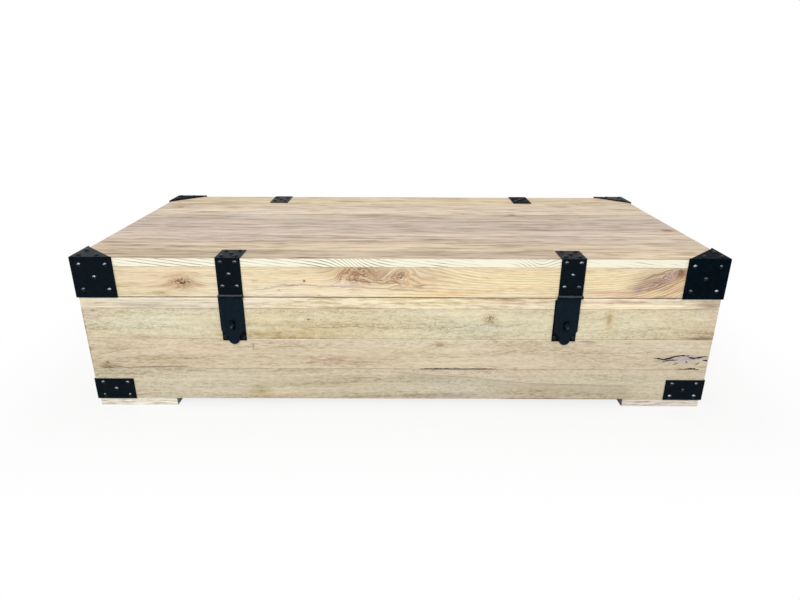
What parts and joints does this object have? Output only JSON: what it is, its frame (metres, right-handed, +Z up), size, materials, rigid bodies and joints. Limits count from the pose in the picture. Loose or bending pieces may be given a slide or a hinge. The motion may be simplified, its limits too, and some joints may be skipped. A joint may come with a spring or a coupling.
{
  "type": "mule chest",
  "caption": "Long, low pine chest with a lift-up lid on strap hinges, slotted lid stays, front hasps over turn staples, nailed iron corner plates and block feet.",
  "frame": {"origin": "on the floor, under the middle of the chest", "axes": "+Z up, +X along the length of the chest to the viewer's right, -Y out of the front with the hasps"},
  "size_m": [1.4134, 0.7267, 0.3637],
  "materials": {
    "pine": "waxed pine boards",
    "lid_top_pine": "waxed pine staves, greyer than the sides",
    "dowel_wood": "plain beech dowels",
    "black_iron": "black painted sheet iron, satin",
    "domed_nails": "black domed nail heads, glossier than the plates",
    "bare_steel": "dark plain steel pins, screws and stays"
  },
  "bodies": {
    "chest": {"back_board_lower": "pine", "back_board_middle": "pine", "back_board_upper": "pine", "back_top_rail": "pine", "body_corner_back_left": "black_iron", "body_corner_back_right": "black_iron", "body_corner_front_left": "black_iron", "body_corner_front_right": "black_iron", "body_dowels": "dowel_wood", "body_nails": "domed_nails", "bottom_panel": "pine", "foot_back_left": "pine", "foot_back_right": "pine", "foot_front_left": "pine", "foot_front_right": "pine", "foot_screws": "bare_steel", "front_board_lower": "pine", "front_board_middle": "pine", "front_board_upper": "pine", "front_top_rail": "pine", "hasp_back_plate_left": "black_iron", "hasp_back_plate_right": "black_iron", "hinge_leaf_left": "black_iron", "hinge_leaf_right": "black_iron", "left_board_lower": "pine", "left_board_middle": "pine", "left_board_upper": "pine", "left_top_rail": "pine", "right_board_lower": "pine", "right_board_middle": "pine", "right_board_upper": "pine", "right_top_rail": "pine", "stay_guide_screws": "bare_steel"},
    "lid": {"hasp_pin_left": "bare_steel", "hasp_pin_right": "bare_steel", "hasp_strap_left": "black_iron", "hasp_strap_right": "black_iron", "hinge_pin_left": "bare_steel", "hinge_pin_right": "bare_steel", "hinge_strap_left": "black_iron", "hinge_strap_right": "black_iron", "lid_apron_back": "pine", "lid_apron_front": "pine", "lid_apron_left": "pine", "lid_apron_right": "pine", "lid_corner_back_left": "black_iron", "lid_corner_back_right": "black_iron", "lid_corner_front_left": "black_iron", "lid_corner_front_right": "black_iron", "lid_dowels": "dowel_wood", "lid_nails": "domed_nails", "lid_top_staves": "lid_top_pine", "stay_pivot_screws": "bare_steel"},
    "hasp_left": {"hasp_flap_left": "black_iron"},
    "hasp_right": {"hasp_flap_right": "black_iron"},
    "staple_left": {"turn_staple_left": "bare_steel"},
    "staple_right": {"turn_staple_right": "bare_steel"},
    "stay_left": {"lid_stay_left": "bare_steel"},
    "stay_right": {"lid_stay_right": "bare_steel"}
  },
  "joints": [
    {"name": "lid_hinge", "type": "hinge", "parent": "chest", "child": "lid", "pos_m": [0, 0.3545, 0.273], "axis": [-1, 0, 0], "range_deg": [0, 95]},
    {"name": "hasp_left_hinge", "type": "hinge", "parent": "lid", "child": "hasp_left", "pos_m": [-0.368, -0.3545, 0.273], "axis": [-1, 0, 0], "range_deg": [0, 160]},
    {"name": "staple_left_turn", "type": "hinge", "parent": "chest", "child": "staple_left", "pos_m": [-0.37, -0.352, 0.206], "axis": [0, -1, 0], "range_deg": [0, 90]},
    {"name": "stay_left_pivot", "type": "hinge", "parent": "lid", "child": "stay_left", "pos_m": [-0.677, 0.23257, 0.3181], "axis": [1, 0, 0], "range_deg": [0, 47.5]},
    {"name": "hasp_right_hinge", "type": "hinge", "parent": "lid", "child": "hasp_right", "pos_m": [0.37, -0.3545, 0.273], "axis": [-1, 0, 0], "range_deg": [0, 160]},
    {"name": "staple_right_turn", "type": "hinge", "parent": "chest", "child": "staple_right", "pos_m": [0.367, -0.352, 0.206], "axis": [0, -1, 0], "range_deg": [0, 90]},
    {"name": "stay_right_pivot", "type": "hinge", "parent": "lid", "child": "stay_right", "pos_m": [0.677, 0.23257, 0.3181], "axis": [1, 0, 0], "range_deg": [0, 47.5]}
  ],
  "couplings": [
    {"joint": "stay_left_pivot", "follows": "lid_hinge", "ratio": 0.5},
    {"joint": "stay_right_pivot", "follows": "lid_hinge", "ratio": 0.5}
  ]
}
